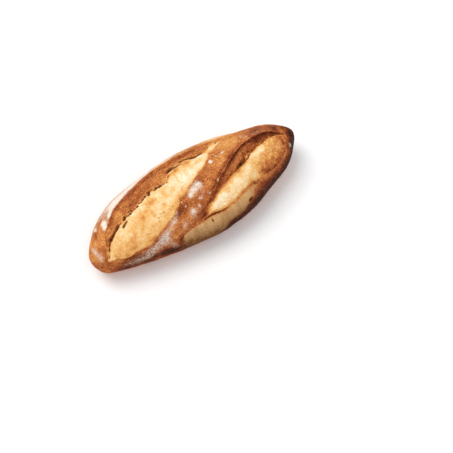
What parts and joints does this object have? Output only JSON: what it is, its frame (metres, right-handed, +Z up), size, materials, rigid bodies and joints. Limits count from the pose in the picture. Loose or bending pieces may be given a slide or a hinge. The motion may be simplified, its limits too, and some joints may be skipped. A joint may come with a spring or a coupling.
{
  "type": "baguette",
  "caption": "Short scored baguette: one crusty torpedo-shaped wheat loaf with slanting cuts opened into raised ears, resting on its flat base.",
  "frame": {"origin": "on the surface the loaf rests on, at the middle of its length and width", "axes": "+X along the loaf towards its more pointed end, +Y across it towards the side the ears lift to, +Z up"},
  "size_m": [0.25, 0.0954, 0.0643],
  "materials": {
    "crust": "matte, dry and rough baked crust, dusted with flour"
  },
  "bodies": {
    "root": {"loaf": "crust"}
  },
  "joints": []
}
